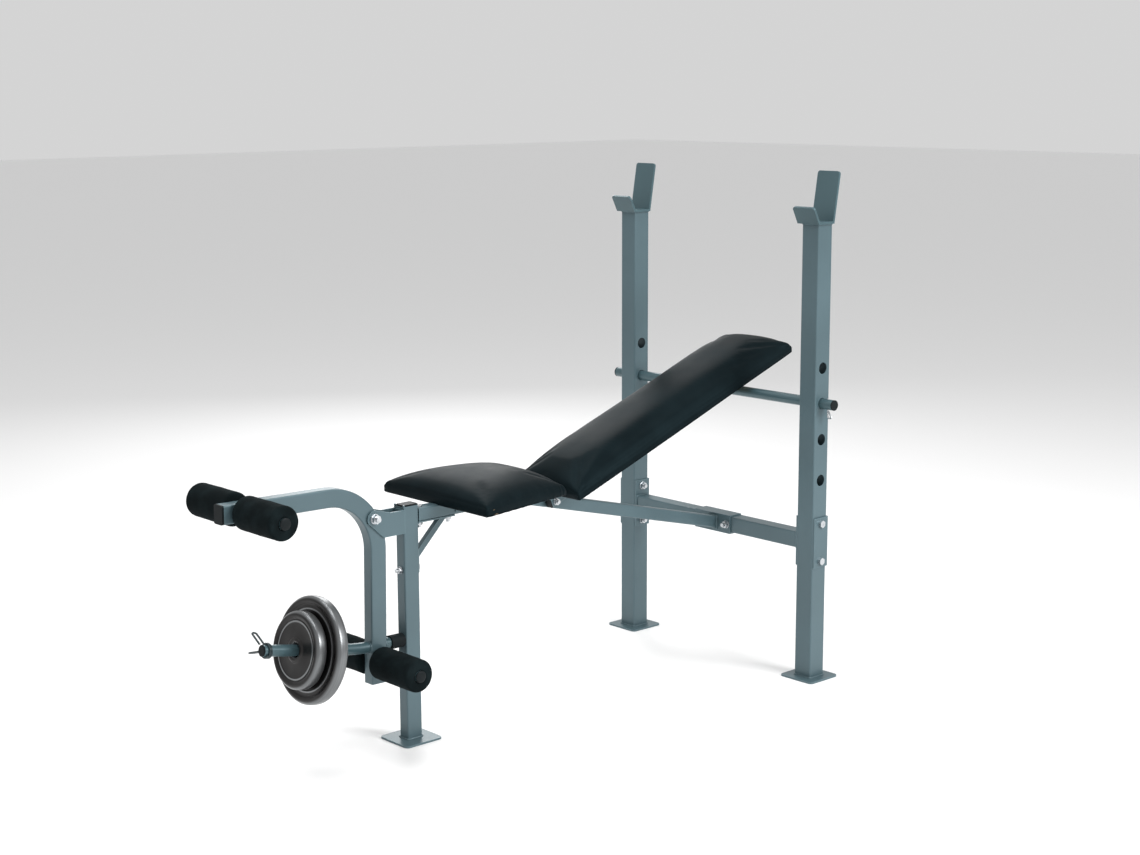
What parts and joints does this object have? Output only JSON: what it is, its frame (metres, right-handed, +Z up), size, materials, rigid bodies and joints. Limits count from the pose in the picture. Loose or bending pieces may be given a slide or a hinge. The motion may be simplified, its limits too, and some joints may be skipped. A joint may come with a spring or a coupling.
{
  "type": "adjustable weight bench",
  "caption": "Free-standing weight bench with bar rests, a padded seat, an adjustable incline backrest and a leg lever with foam rollers and plates.",
  "frame": {"origin": "on the floor, at the middle of the front post's foot plate", "axes": "+Z up, +Y from the front post towards the uprights, +X to the user's left when lying head towards the uprights"},
  "size_m": [0.738, 1.6077, 1.2242],
  "materials": {
    "frame_paint": "semi-gloss baked enamel",
    "hook_paint": "semi-gloss baked enamel, darker",
    "bar_paint": "gloss baked enamel",
    "zinc": "bright zinc plate",
    "bush_steel": "turned steel",
    "vinyl": "smooth upholstery vinyl, soft sheen",
    "plywood": "raw board",
    "roller_foam": "closed-cell foam sleeve, matte",
    "cap_plastic": "moulded plastic",
    "bumper_rubber": "moulded rubber",
    "plate_iron": "dark enamelled iron with a polished rim",
    "collar_wire": "dark enamelled spring wire"
  },
  "bodies": {
    "frame": {"left_upright": "frame_paint", "right_upright": "frame_paint", "left_foot": "frame_paint", "right_foot": "frame_paint", "front_foot": "frame_paint", "left_bar_hook": "hook_paint", "right_bar_hook": "hook_paint", "crossbar": "frame_paint", "left_channel": "frame_paint", "right_channel": "frame_paint", "channel_bolts": "zinc", "channel_nuts": "zinc", "main_beam": "frame_paint", "saddle_bracket": "frame_paint", "saddle_bolts": "zinc", "saddle_nuts": "zinc", "front_post": "frame_paint", "post_cap": "cap_plastic", "beam_shelf": "frame_paint", "post_brace": "frame_paint", "brace_bolt": "zinc", "brace_nut": "zinc", "shelf_bolts": "zinc", "shelf_nuts": "zinc", "pivot_bracket": "frame_paint", "pivot_bolt": "zinc", "pivot_nut": "zinc", "seat_angles": "frame_paint", "seat_board": "plywood", "seat_cushion": "vinyl", "seat_screws": "zinc", "hinge_bolt": "zinc", "hinge_nut": "zinc"},
    "lever": {"lever": "frame_paint", "lever_plug": "cap_plastic", "pivot_bush": "bush_steel", "upper_roller_tube": "bar_paint", "lower_roller_tube": "bar_paint", "roller_caps": "cap_plastic", "plate_horn": "bar_paint", "horn_plug": "cap_plastic", "bumper": "bumper_rubber"},
    "upper_left_roller": {"upper_left_roller": "roller_foam"},
    "upper_right_roller": {"upper_right_roller": "roller_foam"},
    "lower_left_roller": {"lower_left_roller": "roller_foam"},
    "lower_right_roller": {"lower_right_roller": "roller_foam"},
    "large_plate": {"large_plate": "plate_iron"},
    "small_plate": {"small_plate": "plate_iron"},
    "spring_collar": {"spring_collar": "collar_wire"},
    "backrest": {"left_back_rail": "frame_paint", "right_back_rail": "frame_paint", "rail_plugs": "cap_plastic", "hinge_bushes": "bush_steel", "back_board": "plywood", "back_cushion": "vinyl", "back_screws": "zinc"},
    "incline_bar": {"incline_bar": "bar_paint", "bar_caps": "cap_plastic"},
    "hitch_pin": {"hitch_pin": "zinc"}
  },
  "joints": [
    {"name": "lever_swing", "type": "hinge", "parent": "frame", "child": "lever", "pos_m": [0, -0.101, 0.518], "axis": [-1, 0, 0], "range_deg": [0, 90]},
    {"name": "upper_left_spin", "type": "hinge", "parent": "lever", "child": "upper_left_roller", "pos_m": [0, -0.41994, 0.58158], "axis": [1, 0, 0], "continuous": true},
    {"name": "upper_right_spin", "type": "hinge", "parent": "lever", "child": "upper_right_roller", "pos_m": [0, -0.41994, 0.58158], "axis": [1, 0, 0], "continuous": true},
    {"name": "lower_left_spin", "type": "hinge", "parent": "lever", "child": "lower_left_roller", "pos_m": [0, -0.09257, 0.1988], "axis": [1, 0, 0], "continuous": true},
    {"name": "lower_right_spin", "type": "hinge", "parent": "lever", "child": "lower_right_roller", "pos_m": [0, -0.09257, 0.1988], "axis": [1, 0, 0], "continuous": true},
    {"name": "large_plate_slide", "type": "slide", "parent": "lever", "child": "large_plate", "axis": [0, -0.9816, 0.1908], "range_m": [0, 0.05]},
    {"name": "small_plate_slide", "type": "slide", "parent": "lever", "child": "small_plate", "axis": [0, -0.9816, 0.1908], "range_m": [0, 0.05]},
    {"name": "collar_slide", "type": "slide", "parent": "lever", "child": "spring_collar", "axis": [0, -0.9816, 0.1908], "range_m": [0, 0.06]},
    {"name": "backrest_tilt", "type": "hinge", "parent": "frame", "child": "backrest", "pos_m": [0, 0.402, 0.48227], "axis": [1, 0, 0], "range_deg": [0, 30]},
    {"name": "incline_bar_slide", "type": "slide", "parent": "frame", "child": "incline_bar", "axis": [1, 0, 0], "range_m": [0, 0.7]},
    {"name": "hitch_pin_pull", "type": "slide", "parent": "incline_bar", "child": "hitch_pin", "axis": [0, 0, -1], "range_m": [0, 0.035]}
  ],
  "couplings": [
    {"joint": "small_plate_slide", "follows": "large_plate_slide", "ratio": 1}
  ]
}
